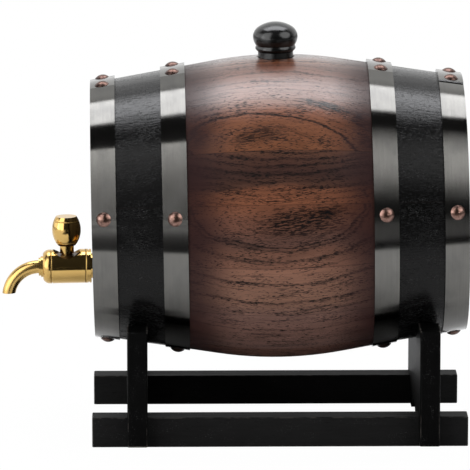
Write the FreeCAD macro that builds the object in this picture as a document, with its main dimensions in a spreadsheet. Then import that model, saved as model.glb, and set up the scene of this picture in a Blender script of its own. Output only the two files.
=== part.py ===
"""Oak cask liquor dispenser: a small coopered cask with a plug tap and a turned bung, on a cradle stand.

Millimetres, +Z up.  The origin is on the surface that the stand rests on, at the middle of the
overall box.  The cask's axis runs along X, and the tap is at its front end, towards -X.
"""
import FreeCAD, Part
import Sketcher
import math
import os
from FreeCAD import Placement, Rotation, Vector

X_AXIS = Vector(1, 0, 0)
Y_AXIS = Vector(0, 1, 0)
Z_AXIS = Vector(0, 0, 1)

# ---------------------------------------------------------------- driving sizes, in millimetres and degrees
SIZES = [
    # the cask's shell
    ("cask_length", 221.8, "along the axis, over the stave ends"),
    ("bilge_radius", 90.8, "outer radius at the middle"),
    ("bend_radius", 228.0, "radius of the staves' outer bend, lengthwise"),
    ("bend_half", 37.2, "half length of the bent stretch; the stave ends are straight"),
    ("stave_thickness", 10.5, "square to the outer face"),
    ("cask_tilt", 1.0, "the tap end lies lower, so that the cask drains"),
    ("bilge_height", 42.5, "underside of the bilge above the floor"),
    # stave ends and heads
    ("chime_depth", 12.0, "from the stave ends to the head's outer face"),
    ("chime_lip", 7.0, "radial thickness of the stave ends"),
    ("chime_bevel", 6.5, "length of the bevel inside the stave ends"),
    ("croze_width", 4.0, "groove that holds the head's rim"),
    ("croze_depth", 3.5, "depth of that groove"),
    ("head_thickness", 9.0, "thickness of the head boards"),
    ("head_bevel", 5.0, "radial width of the bevel around a head"),
    ("head_fit", 0.1, "clearance of the head's rim in its groove"),
    ("middle_board", 50.0, "width of the middle head board"),
    ("dowel_radius", 2.5, "dowels that join the head boards"),
    ("dowel_length", 20.0, "length of those dowels"),
    ("dowel_spread", 32.0, "dowels above and below the cask's axis"),
    ("wood_fit", 0.05, "clearance of a dowel, nail or screw in its hole"),
    # hoops
    ("hoop_width", 14.6, "width of the steel strip"),
    ("hoop_thickness", 0.9, "thickness of the steel strip"),
    ("hoop_fit", 0.05, "between a hoop and the staves"),
    ("quarter_hoop_start", 54.5, "inner edge of a quarter hoop from the middle"),
    ("lap_front", 13.0, "angle of the strip's outer end beyond the near rivet, from the top"),
    ("lap_back", 12.0, "angle of the strip's outer end beyond the far rivet"),
    ("lap_slope", 8.0, "angle added at the lap's other end, where the outer layer comes down to the ring"),
    ("lap_bite", 0.05, "depth of that slope's plane in the ring"),
    ("rivet_front", 9.0, "angle of the lap's near rivet"),
    ("rivet_back", 7.0, "angle of the lap's far rivet"),
    ("rivet_head_radius", 4.35, "domed head"),
    ("rivet_head_height", 2.0, "domed head"),
    ("rivet_shank_radius", 1.3, "shank of rivets and hoop nails"),
    ("nail_grip", 5.5, "depth of a hoop nail in its stave"),
    # bung
    ("bung_radius", 8.9, "plug in the bung hole"),
    ("bung_fit", 0.1, "radial clearance of the plug"),
    ("bung_plug_length", 14.0, "plug below the collar"),
    ("bung_seat_radius", 11.2, "flat seat cut into the bung stave"),
    ("bung_seat_depth", 0.75, "depth of the seat at its centre"),
    ("bung_seat_gap", 0.2, "collar above its seat"),
    ("collar_radius", 10.5, "collar of the bung"),
    ("collar_height", 3.4, "collar of the bung"),
    ("bead_radius", 12.0, "bead above the collar"),
    ("bead_height", 3.7, "bead above the collar"),
    ("bead_groove", 0.5, "depth of the grooves below and above the bead"),
    ("dome_radius", 13.3, "turned knob of the bung"),
    ("dome_skirt", 5.0, "from the bead to the dome's widest place"),
    ("dome_height", 9.0, "from the widest place to the top"),
    ("dome_shoulder", 7.2, "radius of the dome's shoulder"),
    # tap body
    ("tap_drop", 34.5, "tap axis below the cask's axis"),
    ("valve_reach", 16.2, "valve axis in front of the stave ends"),
    ("tap_radius", 10.2, "tap body"),
    ("tap_front", 10.8, "tap body in front of the valve axis"),
    ("tap_back", 14.4, "tap body behind the valve axis"),
    ("tap_neck_radius", 7.5, "neck between body and flange"),
    ("tap_flange_radius", 13.0, "flange against the head"),
    ("tap_flange_thickness", 3.0, "flange against the head"),
    ("gasket_thickness", 2.0, "rubber ring under the flange"),
    ("shank_radius", 7.9, "shank through the head"),
    ("shank_tail", 2.0, "shank behind the nut"),
    ("tap_fit", 0.1, "clearance around the shank and the spout"),
    ("washer_thickness", 1.5, "washer inside the head"),
    ("nut_thickness", 5.0, "nut inside the head"),
    ("nut_flats", 24.0, "across the nut's flats"),
    ("water_radius", 2.5, "waterway"),
    ("ring_groove", 0.6, "width of the turned grooves on the tap body"),
    ("ring_inset", 1.2, "turned groove from the body's ends"),
    ("ring_depth", 0.4, "depth of the turned grooves"),
    # valve
    ("plug_radius", 6.43, "valve plug"),
    ("plug_fit", 0.07, "radial running clearance of the plug"),
    ("plug_floor", 6.0, "floor of the valve chamber below the tap axis"),
    ("plug_end_gap", 0.1, "plug above that floor and below the gland ring"),
    ("recess_radius", 8.35, "recess for the gland ring"),
    ("recess_floor", 5.0, "recess floor above the tap axis"),
    ("gland_height", 2.4, "height of the gland ring"),
    ("gland_fit", 0.05, "gland ring in its recess, and seal in the gland ring"),
    ("stem_radius", 3.25, "stem of the valve plug"),
    ("stem_fit", 0.1, "stem in the gland ring"),
    ("seal_section", 0.7, "section radius of the stem's ring seal"),
    ("stop_inner", 5.0, "inner radius of the stop lug"),
    ("stop_outer", 6.2, "outer radius of the stop lug"),
    ("stop_drop", 1.4, "stop lug below the gland ring"),
    ("stop_width", 16.0, "angle that the stop lug covers"),
    ("stop_slack", 1.0, "angle between lug and notch at either end"),
    ("key_turn", 90.0, "travel of the tap key"),
    # tap key
    ("key_neck_radius", 4.2, "neck of the key"),
    ("key_neck_gap", 0.8, "neck above the gland ring"),
    ("key_foot", 13.0, "foot of the key's barrel above the tap axis"),
    ("key_foot_radius", 5.35, "foot of the key's barrel"),
    ("key_top", 30.5, "top of the key above the tap axis"),
    ("key_top_radius", 6.2, "flat top of the key"),
    ("key_bulge", 15.0, "radius of the barrel's side"),
    ("stem_top", 24.0, "stem inside the key, above the tap axis"),
    # spout
    ("nut_round", 3.6, "length of the spout nut's round shoulder"),
    ("nut_shoulder_radius", 8.0, "front of that shoulder"),
    ("nut_shoulder_bow", 4.5, "radius of that shoulder's rounding"),
    ("nut_step_radius", 6.3, "first step of the spout nut"),
    ("nut_step_length", 1.4, "first step of the spout nut"),
    ("nut_tip_radius", 5.4, "tip of the spout nut"),
    ("nut_tip_length", 1.3, "tip of the spout nut"),
    ("nut_spigot_radius", 4.5, "spigot of the nut in the tap body"),
    ("nut_spigot_length", 2.9, "spigot of the nut in the tap body"),
    ("spout_radius", 3.95, "outside of the spout's tube"),
    ("spout_bend", 18.5, "bend radius of the tube's centre line"),
    ("spout_turn", 88.0, "angle that the tube is bent through before its end is cut level"),
    ("spout_grip", 4.4, "tube inside the spout nut"),
    ("outlet_drop", 15.5, "outlet below the tap axis"),
    # stand
    ("cradle_spread", 172.7, "between the cradle boards' middles"),
    ("cradle_shift", 1.85, "cradle pair behind the cask's middle"),
    ("cradle_thickness", 12.0, "cradle board"),
    ("cradle_shoulder", 21.4, "flat top of a cradle board on either side of the saddle"),
    ("cradle_flare", 1.5, "foot of a cradle board beyond its top, front and back"),
    ("cradle_lift", 2.2, "foot of the cradle boards above the floor"),
    ("cradle_top", 71.4, "top of the cradle boards above the floor"),
    ("cradle_edge", 1.5, "rounded upright corners"),
    ("saddle_gap", 0.3, "between saddle and staves"),
    ("arch_width", 62.0, "arch under a cradle board"),
    ("arch_height", 11.0, "arch under a cradle board"),
    ("rail_length", 222.7, "rail"),
    ("rail_depth", 15.0, "rail, front to back"),
    ("rail_height", 18.0, "rail"),
    ("rail_inset", 10.0, "rail behind the edge of the cradle boards' feet"),
    ("notch_fit", 0.1, "rail in its notch"),
    ("screw_radius", 1.75, "shank of the stand's screws"),
    ("screw_head_radius", 3.5, "head of the stand's screws"),
    ("screw_head_height", 2.1, "head of the stand's screws"),
    ("screw_length", 32.0, "stand screws"),
    ("screw_sink", 2.0, "screw head above the rail's underside"),
]

# Stave widths as angles, from the bung stave on towards the near side; the last stave closes the ring.
STAVE_ANGLES = [23.0, 24.0, 23.0, 20.7, 24.3, 21.5, 24.0, 22.0, 23.0, 21.0, 24.0, 22.5, 20.5, 23.5, 21.0]
BUNG_STAVE = 0

# Hoop nails around each hoop, as angles from the top towards the near side.
NAIL_ANGLES = [84.0, 168.0, 270.0]

# Hoop whose outer end is on the near side; the others end on the far side.
NEAR_LAP_END = "rear_chime"

NUT_SIDES = 6

# Two lengths closer than this are the same.
SAME_LENGTH = 0.001

document = FreeCAD.newDocument("cask_dispenser")
sheet = document.addObject("Spreadsheet::Sheet", "dims")


# ---------------------------------------------------------------- sizes that know their formula
def number_of(value):
    return value.number if isinstance(value, Size) else float(value)


def formula_of(value):
    return value.formula if isinstance(value, Size) else repr(float(value))


class Size:
    """A length or angle with the spreadsheet formula that gives it."""

    def __init__(self, number, formula):
        self.number = number
        self.formula = formula

    def joined(self, sign, other, number):
        return Size(number, f"({self.formula} {sign} {formula_of(other)})")

    def __add__(self, other):
        return self.joined("+", other, self.number + number_of(other))

    def __radd__(self, other):
        return self + other

    def __sub__(self, other):
        return self.joined("-", other, self.number - number_of(other))

    def __rsub__(self, other):
        return -self + other

    def __mul__(self, other):
        return self.joined("*", other, self.number * number_of(other))

    def __rmul__(self, other):
        return self * other

    def __truediv__(self, other):
        return self.joined("/", other, self.number / number_of(other))

    def __neg__(self):
        return self * -1.0


def root(value):
    return Size(math.sqrt(value.number), f"sqrt({value.formula})")


def add_size(row, alias, number, meaning):
    """Write one driving size into the sheet and return it."""
    sheet.set(f"A{row}", alias.replace("_", " "))
    sheet.set(f"B{row}", str(number))
    sheet.set(f"C{row}", meaning)
    sheet.setAlias(f"B{row}", alias)
    return Size(float(number), f"dims.{alias}")


def add_list(first_row, stem, numbers, meaning):
    """Write a list of driving sizes into the sheet, one row each."""
    return [
        add_size(first_row + place, f"{stem}_{place + 1:02d}", number, meaning)
        for place, number in enumerate(numbers)
    ]


class Sizes:
    """The driving sizes, one attribute for each alias."""


size = Sizes()
for row, (alias, number, meaning) in enumerate(SIZES, start=1):
    setattr(size, alias, add_size(row, alias, number, meaning))
stave_angles = add_list(len(SIZES) + 1, "stave_angle", STAVE_ANGLES, "angle that a stave covers")
stave_angles.append(360.0 - sum(stave_angles[1:], stave_angles[0]))
nail_angles = add_list(len(SIZES) + len(STAVE_ANGLES) + 1, "nail_angle", NAIL_ANGLES, "angle of a hoop nail")
document.recompute()


# ---------------------------------------------------------------- document helpers
nodes = []


def keep(piece, label):
    """Name a finished sub-part and put it on the list that is exported."""
    piece.Label = label
    nodes.append(piece)
    return piece


def bind(piece, **sizes):
    """Bind properties of an object to the sheet."""
    for name, value in sizes.items():
        piece.setExpression(name, formula_of(value))
    return piece


def new_body(label):
    body = document.addObject("PartDesign::Body", label + "_blank")
    body.Label = label + "_blank"
    return body


def origin_plane(body, role):
    return next(feature for feature in body.Origin.OriginFeatures if feature.Role == role)


def new_sketch(body, role):
    sketch = body.newObject("Sketcher::SketchObject", body.Name + "_sketch")
    sketch.AttachmentSupport = [(origin_plane(body, role), "")]
    sketch.MapMode = "FlatFace"
    return sketch


def arc_geometry(start, end, radius):
    """Arc shorter than half a turn; a positive radius bulges to the right of the way from start to end."""
    chord = end - start
    middle = (start + end) * 0.5
    left = Vector(-chord.y, chord.x, 0).normalize()
    reach = math.sqrt(max(radius * radius - chord.Length**2 / 4, 0.0))
    centre = middle + left * (reach if radius > 0 else -reach)
    first, last = (start, end) if radius > 0 else (end, start)
    angles = [math.atan2(point.y - centre.y, point.x - centre.x) for point in (first, last)]
    return Part.ArcOfCircle(Part.Circle(centre, Z_AXIS, abs(radius)), *angles)


def place_point(sketch, edge, position, axis_name, value):
    """Hold one coordinate of a sketch point at a size from the sheet."""
    if not isinstance(value, Size) and value == 0:
        axis_edge = -2 if axis_name == "X" else -1
        sketch.addConstraint(Sketcher.Constraint("PointOnObject", edge, position, axis_edge))
        return
    rule = Sketcher.Constraint("Distance" + axis_name, -1, 1, edge, position, number_of(value))
    index = sketch.addConstraint(rule)
    name = f"{axis_name.lower()}_{edge}"
    sketch.renameConstraint(index, name)
    sketch.setExpression("Constraints." + name, formula_of(value))


def draw_outline(sketch, corners, arcs=None):
    """Closed outline through corners; arcs maps a corner's index to the radius of the arc that leaves it."""
    arcs = arcs or {}
    points = [Vector(number_of(x), number_of(y), 0) for x, y in corners]
    first_edge = sketch.GeometryCount
    ends = []
    for place, start in enumerate(points):
        end = points[(place + 1) % len(points)]
        if place in arcs:
            radius = number_of(arcs[place])
            sketch.addGeometry(arc_geometry(start, end, radius), False)
            ends.append((1, 2) if radius > 0 else (2, 1))
        else:
            sketch.addGeometry(Part.LineSegment(start, end), False)
            ends.append((1, 2))
    for place in range(len(points)):
        edge = first_edge + place
        following = (place + 1) % len(points)
        next_edge = first_edge + following
        sketch.addConstraint(
            Sketcher.Constraint("Coincident", edge, ends[place][1], next_edge, ends[following][0])
        )
    for place, (x, y) in enumerate(corners):
        place_point(sketch, first_edge + place, ends[place][0], "X", x)
        place_point(sketch, first_edge + place, ends[place][0], "Y", y)
    for place, radius in arcs.items():
        edge = first_edge + place
        index = sketch.addConstraint(Sketcher.Constraint("Radius", edge, abs(number_of(radius))))
        sketch.renameConstraint(index, f"radius_{edge}")
        positive = radius if number_of(radius) > 0 else -radius
        sketch.setExpression(f"Constraints.radius_{edge}", formula_of(positive))


def draw_circle(sketch, x, y, radius):
    """Circle with its centre and radius from the sheet."""
    centre = Vector(number_of(x), number_of(y), 0)
    edge = sketch.addGeometry(Part.Circle(centre, Z_AXIS, number_of(radius)), False)
    place_point(sketch, edge, 3, "X", x)
    place_point(sketch, edge, 3, "Y", y)
    index = sketch.addConstraint(Sketcher.Constraint("Radius", edge, number_of(radius)))
    sketch.renameConstraint(index, f"radius_{edge}")
    sketch.setExpression(f"Constraints.radius_{edge}", formula_of(radius))


def turn_profile(body, corners, axis, arcs=None, angle=360.0, cut=False):
    """Turn an outline of the XZ plane about the body's X axis (H_Axis) or Z axis (V_Axis)."""
    sketch = new_sketch(body, "XZ_Plane")
    draw_outline(sketch, corners, arcs)
    kind = "Groove" if cut else "Revolution"
    turned = body.newObject("PartDesign::" + kind, f"{body.Name}_{kind.lower()}")
    turned.Profile = sketch
    turned.ReferenceAxis = (sketch, [axis])
    turned.Midplane = True
    bind(turned, Angle=angle)
    sketch.Visibility = False
    return turned


def turned_body(label, corners, axis, arcs=None, angle=360.0):
    body = new_body(label)
    turn_profile(body, corners, axis, arcs, angle)
    return body


def cylinder(label, radius, height, placement):
    """Part cylinder that stands on its placement's XY plane."""
    rod = document.addObject("Part::Cylinder", label)
    rod.Placement = placement
    return bind(rod, Radius=radius, Height=height)


def fused(label, pieces):
    fusion = document.addObject("Part::MultiFuse", label)
    fusion.Shapes = pieces
    return fusion


def cut_from(label, base, tools):
    """Base less all the tools."""
    cut = document.addObject("Part::Cut", label + "_cut")
    cut.Base = base
    cut.Tool = tools[0] if len(tools) == 1 else fused(label + "_tools", tools)
    return cut


def shift(x=0.0, y=0.0, z=0.0):
    return Placement(Vector(number_of(x), number_of(y), number_of(z)), Rotation())


def turn(axis, angle):
    return Placement(Vector(), Rotation(axis, number_of(angle)))


# ---------------------------------------------------------------- places worked out from the sizes
half_length = size.cask_length / 2
bend_rise = root(size.bend_radius * size.bend_radius - size.bend_half * size.bend_half)
stave_slope = size.bend_half / bend_rise
stave_cosine = bend_rise / size.bend_radius
stave_lean = math.degrees(math.atan(stave_slope.number))
bend_end_radius = size.bilge_radius - size.bend_radius + bend_rise
wall = size.stave_thickness / stave_cosine

head_outer = half_length - size.chime_depth
head_middle = head_outer - size.head_thickness / 2
valve_x = half_length + size.valve_reach
nut_front = size.tap_front + size.nut_round + size.nut_step_length + size.nut_tip_length
spout_outer_bend = size.spout_bend + size.spout_radius
outlet_height = size.spout_bend - size.outlet_drop
spout_tip = root(spout_outer_bend * spout_outer_bend - outlet_height * outlet_height)
tilt_sine = math.sin(math.radians(size.cask_tilt.number))

def outer_radius(x):
    """Outer radius of the straight stave ends at a distance x from the middle."""
    return bend_end_radius - (x - size.bend_half) * stave_slope


def inner_radius(x):
    return outer_radius(x) - wall


croze_floor = inner_radius(head_middle) + size.croze_depth
head_radius = croze_floor - size.head_fit

# The box reaches from the spout's tip to the lowest point of the rear hoop or to the rails' ends.
front_reach = valve_x + nut_front + spout_tip - (size.tap_drop + size.outlet_drop) * tilt_sine
hoop_reach = half_length + outer_radius(half_length) * tilt_sine
rear_reach = max(hoop_reach, size.rail_length / 2, key=number_of)
cask_x = (front_reach - rear_reach) / 2

cask_height = size.bilge_radius + size.bilge_height
CASK = Placement(Vector(cask_x.number, 0, cask_height.number), Rotation(Y_AXIS, -size.cask_tilt.number))
TAP = CASK * shift(x=-valve_x, z=-size.tap_drop)


# ---------------------------------------------------------------- staves
def with_mirror(corners):
    """Corners of a half outline, followed by their mirror image in reverse."""
    return corners + [(-x, y) for x, y in reversed(corners)]


def stave_body(label, angle):
    """Bent stave with a groove for each head, turned about the cask's axis."""
    thin = size.bend_radius - size.stave_thickness
    inner_bend_x = size.bend_half * thin / size.bend_radius
    inner_bend_radius = bend_end_radius - size.stave_thickness * stave_cosine
    groove_in = head_middle - size.croze_width / 2
    groove_out = head_middle + size.croze_width / 2
    bevel_x = half_length - size.chime_bevel
    inside = [
        (half_length, outer_radius(half_length) - size.chime_lip),
        (bevel_x, inner_radius(bevel_x)),
        (groove_out, inner_radius(groove_out)),
        (groove_out, croze_floor),
        (groove_in, croze_floor),
        (groove_in, inner_radius(groove_in)),
        (inner_bend_x, inner_bend_radius),
    ]
    outside = [(-half_length, outer_radius(half_length)), (-size.bend_half, bend_end_radius)]
    corners = with_mirror(inside) + with_mirror(outside)
    arcs = {len(inside) - 1: -thin, 2 * len(inside) + 1: -size.bend_radius}
    return turned_body(label, corners, "H_Axis", arcs, angle)


def hoop_middles():
    """Middle of each hoop from the cask's middle, by name; the front is towards -X."""
    chime = half_length - size.hoop_width / 2
    quarter = size.quarter_hoop_start + size.hoop_width / 2
    return {"front_chime": -chime, "front_quarter": -quarter, "rear_quarter": quarter, "rear_chime": chime}


def square_to_stave(hoop_middle, around):
    """Place on the staves' outer face under a hoop's middle, with +Z square to that face."""
    side = 1.0 if hoop_middle.number > 0 else -1.0
    across = hoop_middle * side
    on_face = shift(x=hoop_middle, z=outer_radius(across))
    return turn(X_AXIS, around) * on_face * turn(Y_AXIS, side * stave_lean)


def nail_holes(label, start, angle):
    """Holes for the hoop nails that meet the stave between two angles."""
    holes = []
    for nail_angle in nail_angles:
        beyond = (nail_angle.number - start.number) % 360.0
        if beyond > angle.number:
            continue
        for name, hoop_middle in hoop_middles().items():
            depth = size.nail_grip + size.wood_fit
            foot = square_to_stave(hoop_middle, nail_angle) * shift(z=-depth)
            radius = size.rivet_shank_radius + size.wood_fit
            holes.append(cylinder(f"{label}_{name}_hole", radius, depth + size.hoop_thickness, foot))
    return holes


def bung_hole(label):
    """Bung hole with a flat seat for the bung's collar."""
    seat_height = size.bilge_radius - size.bung_seat_depth
    deep = size.stave_thickness * 2
    hole = cylinder(
        label + "_hole", size.bung_radius + size.bung_fit, deep * 2, shift(z=size.bilge_radius - deep)
    )
    seat = cylinder(label + "_seat", size.bung_seat_radius, deep, shift(z=seat_height))
    return [hole, seat]


def make_staves():
    start = -stave_angles[BUNG_STAVE] / 2
    for place, angle in enumerate(stave_angles):
        label = f"stave_{place + 1:02d}"
        middle = start + angle / 2
        stave = stave_body(label, angle)
        holes = bung_hole(label) if place == BUNG_STAVE else nail_holes(label, start, angle)
        stave.Placement = turn(X_AXIS, middle)
        if holes:
            stave = cut_from(label, stave, holes)
            stave.Placement = CASK
        else:
            stave.Placement = CASK * stave.Placement
        keep(stave, label)
        start = start + angle


# ---------------------------------------------------------------- heads
def head_blank(label):
    """Whole head with a bevelled rim, on its own middle plane."""
    half = size.head_thickness / 2
    half_rim = size.croze_width / 2 - size.head_fit
    bevel_end = inner_radius(head_outer) - size.head_fit
    bevel_start = bevel_end - size.head_bevel
    corners = [
        (half, 0),
        (half, bevel_start),
        (half_rim, bevel_end),
        (half_rim, head_radius),
        (-half_rim, head_radius),
        (-half_rim, bevel_end),
        (-half, bevel_start),
        (-half, 0),
    ]
    return turned_body(label, corners, "H_Axis")


def board_block(label, low_y, high_y):
    """Block that holds one board of a head."""
    block = document.addObject("Part::Box", label + "_block")
    tall = head_radius * 2 + size.head_thickness
    block.Placement = shift(-size.head_thickness, low_y, -tall / 2)
    return bind(block, Length=size.head_thickness * 2, Width=high_y - low_y, Height=tall)


def dowel_rods(label, extra=0.0):
    """Four dowels across the two joints of a head; extra widens and lengthens them into holes."""
    rods = []
    for side in (-1.0, 1.0):
        for level in (-1.0, 1.0):
            length = size.dowel_length + extra * 2
            joint = size.middle_board * side / 2
            foot = shift(0, joint - length / 2, size.dowel_spread * level) * turn(X_AXIS, -90)
            rods.append(cylinder(f"{label}_rod", size.dowel_radius + extra, length, foot))
    return rods


def make_head(name, side, tapped):
    """Head of three boards with dowels in their joints; side is -1.0 for the front."""
    place = CASK * shift(x=head_middle * side)
    half = size.middle_board / 2
    limits = [(-head_radius, -half), (-half, half), (half, head_radius)]
    for number, (low_y, high_y) in enumerate(limits, start=1):
        label = f"{name}_head_board_{number}"
        board = document.addObject("Part::Common", label + "_raw")
        board.Base = head_blank(label)
        board.Tool = board_block(label, low_y, high_y)
        tools = dowel_rods(label, size.wood_fit)
        if tapped and number == 2:
            foot = shift(x=-size.head_thickness, z=-size.tap_drop) * turn(Y_AXIS, 90)
            hole_radius = size.shank_radius + size.tap_fit
            tools.append(cylinder(label + "_tap_hole", hole_radius, size.head_thickness * 2, foot))
        board = cut_from(label, board, tools)
        board.Placement = place
        keep(board, label)
    dowels = document.addObject("Part::Compound", f"{name}_dowel_group")
    dowels.Links = dowel_rods(f"{name}_dowels")
    dowels.Placement = place
    keep(dowels, f"{name}_head_dowels")


# ---------------------------------------------------------------- hoops, rivets and hoop nails
def strip_corners(hoop_middle, low, high):
    """Section of the hoop's strip between two heights above the stave's face."""
    side = 1.0 if hoop_middle.number > 0 else -1.0
    near = hoop_middle * side - size.hoop_width / 2
    far = hoop_middle * side + size.hoop_width / 2
    corners = [
        (near, outer_radius(near) + low),
        (far, outer_radius(far) + low),
        (far, outer_radius(far) + high),
        (near, outer_radius(near) + high),
    ]
    return [(x * side, radius) for x, radius in corners]


def make_hoop(name, hoop_middle):
    """Steel strip closed by a riveted lap at the top, with its rivets and hoop nails."""
    strip = size.hoop_thickness / stave_cosine
    inner = strip_corners(hoop_middle, size.hoop_fit, strip + size.hoop_fit)
    outer = strip_corners(hoop_middle, strip + size.hoop_fit, strip * 2 + size.hoop_fit)
    ring = turned_body(f"{name}_ring", inner, "H_Axis")
    end_shows = name == NEAR_LAP_END
    near_end = size.lap_front + (0 if end_shows else size.lap_slope)
    far_end = size.lap_back + (size.lap_slope if end_shows else 0)
    blank = turned_body(f"{name}_lap_blank", outer, "H_Axis", angle=near_end + far_end)
    blank.Placement = turn(X_AXIS, (near_end - far_end) / 2)
    slope_foot = square_to_stave(hoop_middle, -far_end if end_shows else near_end)
    above = document.addObject("Part::Box", f"{name}_above_slope")
    foot_height = size.hoop_fit + size.hoop_thickness - size.lap_bite
    above.Placement = slope_foot * shift(-size.hoop_width, -size.hoop_width, foot_height)
    bind(above, Length=size.hoop_width * 2, Width=size.hoop_width * 2, Height=size.hoop_thickness * 4)
    lap = cut_from(f"{name}_lap", blank, [above])
    band = fused(f"{name}_band", [ring, lap])
    heads = []
    holes = []
    lap_rivets = [size.rivet_front, -size.rivet_back]
    for around in lap_rivets + nail_angles:
        riveted = around in lap_rivets
        base = square_to_stave(hoop_middle, around) * shift(z=size.hoop_fit)
        seat = size.hoop_thickness * (2 if riveted else 1)
        shank = seat if riveted else seat + size.nail_grip
        heads.append(rivet_shape(shank, base * shift(z=seat)))
        hole_foot = base * shift(z=-size.hoop_thickness)
        hole_radius = size.rivet_shank_radius + size.wood_fit
        holes.append(cylinder(f"{name}_rivet_hole", hole_radius, size.hoop_thickness * 4, hole_foot))
    hoop = cut_from(f"{name}_hoop", band, holes)
    hoop.Placement = CASK
    keep(hoop, f"{name}_hoop")
    rivets = document.addObject("Part::Compound", f"{name}_rivet_group")
    rivets.Links = heads
    rivets.Placement = CASK
    keep(rivets, f"{name}_rivets")


def rivet_shape(shank, placement):
    """Domed rivet or nail, its head's underside on the placement's XY plane."""
    radius = size.rivet_head_radius
    height = size.rivet_head_height
    dome = (radius * radius + height * height) / (height * 2)
    corners = [
        (0, -shank),
        (size.rivet_shank_radius, -shank),
        (size.rivet_shank_radius, 0),
        (radius, 0),
        (0, height),
    ]
    rivet = turned_body("rivet", corners, "V_Axis", {3: dome})
    rivet.Placement = placement
    return rivet


# ---------------------------------------------------------------- bung
def make_bung():
    """Turned bung: plug, collar, bead and a mushroom-shaped knob."""
    foot = size.bilge_radius - size.bung_seat_depth + size.bung_seat_gap
    bead = foot + size.collar_height
    dome = bead + size.bead_height
    widest = dome + size.dome_skirt
    top = widest + size.dome_height
    neck = size.collar_radius - size.bead_groove
    skirt = size.bead_radius - size.bead_groove
    shoulder_x = size.dome_radius - size.dome_shoulder
    crown = (
        shoulder_x * shoulder_x
        + size.dome_height * size.dome_height
        - size.dome_shoulder * size.dome_shoulder
    ) / ((size.dome_height - size.dome_shoulder) * 2)
    reach = crown / (crown - size.dome_shoulder)
    meet = (shoulder_x * reach, top - crown + (widest - top + crown) * reach)
    corners = [
        (0, foot - size.bung_plug_length),
        (size.bung_radius, foot - size.bung_plug_length),
        (size.bung_radius, foot),
        (size.collar_radius, foot),
        (size.collar_radius, bead),
        (neck, bead),
        (size.bead_radius, bead + size.bead_height / 2),
        (skirt, dome),
        (size.dome_radius, widest),
        meet,
        (0, top),
    ]
    bow = size.bead_height
    arcs = {5: bow, 6: bow, 7: size.dome_height, 8: size.dome_shoulder, 9: crown}
    bung = turned_body("bung", corners, "V_Axis", arcs)
    bung.Placement = CASK
    keep(bung, "bung")


# ---------------------------------------------------------------- tap
def make_tap_body():
    """Tap body with flange and shank, bored along its axis, with the valve chamber from above."""
    flange_back = valve_x - head_outer - size.gasket_thickness
    flange_front = flange_back - size.tap_flange_thickness
    inside_head = valve_x - head_outer + size.head_thickness
    tail = inside_head + size.washer_thickness + size.nut_thickness + size.shank_tail
    low = size.tap_radius - size.ring_depth
    front_ring = -size.tap_front + size.ring_inset
    back_ring = size.tap_back - size.ring_inset
    socket = size.nut_spigot_radius + size.tap_fit
    socket_end = -size.tap_front + size.nut_spigot_length + size.tap_fit
    corners = [
        (-size.tap_front, socket),
        (-size.tap_front, size.tap_radius),
        (front_ring, size.tap_radius),
        (front_ring, low),
        (front_ring + size.ring_groove, low),
        (front_ring + size.ring_groove, size.tap_radius),
        (back_ring - size.ring_groove, size.tap_radius),
        (back_ring - size.ring_groove, low),
        (back_ring, low),
        (back_ring, size.tap_radius),
        (size.tap_back, size.tap_radius),
        (size.tap_back, size.tap_neck_radius),
        (flange_front, size.tap_neck_radius),
        (flange_front, size.tap_flange_radius),
        (flange_back, size.tap_flange_radius),
        (flange_back, size.shank_radius),
        (tail, size.shank_radius),
        (tail, size.water_radius),
        (socket_end, size.water_radius),
        (socket_end, socket),
    ]
    blank = turned_body("tap", corners, "H_Axis")
    chamber_radius = size.plug_radius + size.plug_fit
    chamber = cylinder(
        "valve_chamber", chamber_radius, size.plug_floor + size.tap_radius, shift(z=-size.plug_floor)
    )
    recess = cylinder("gland_recess", size.recess_radius, size.tap_radius, shift(z=size.recess_floor))
    body = cut_from("tap_body", blank, [chamber, recess])
    body.Placement = TAP
    keep(body, "tap_body")


def ring_between(label, start, end, inner, outer, placement=None):
    """Plain ring about the tap's axis."""
    corners = [(start, inner), (end, inner), (end, outer), (start, outer)]
    ring = turned_body(label, corners, "H_Axis")
    ring.Placement = placement or TAP
    return ring


def make_tap_fixing():
    """Gasket outside the head, and washer and nut inside it."""
    bore = size.shank_radius + size.tap_fit
    head_face = valve_x - head_outer
    gasket = ring_between(
        "tap_gasket", head_face - size.gasket_thickness, head_face, bore, size.tap_flange_radius
    )
    keep(gasket, "tap_gasket")
    inside = head_face + size.head_thickness
    washer_end = inside + size.washer_thickness
    keep(ring_between("tap_washer", inside, washer_end, bore, size.tap_flange_radius), "tap_washer")
    hexagon = document.addObject("Part::Prism", "nut_blank")
    hexagon.Polygon = NUT_SIDES
    corner_radius = size.nut_flats / (2 * math.cos(math.pi / NUT_SIDES))
    bind(hexagon, Circumradius=corner_radius, Height=size.nut_thickness)
    bore_tool = cylinder("nut_bore", bore, size.nut_thickness * 2, shift(z=-size.nut_thickness / 2))
    nut = cut_from("tap_nut", hexagon, [bore_tool])
    nut.Placement = TAP * shift(x=washer_end) * turn(Y_AXIS, 90)
    keep(nut, "tap_nut")


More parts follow.
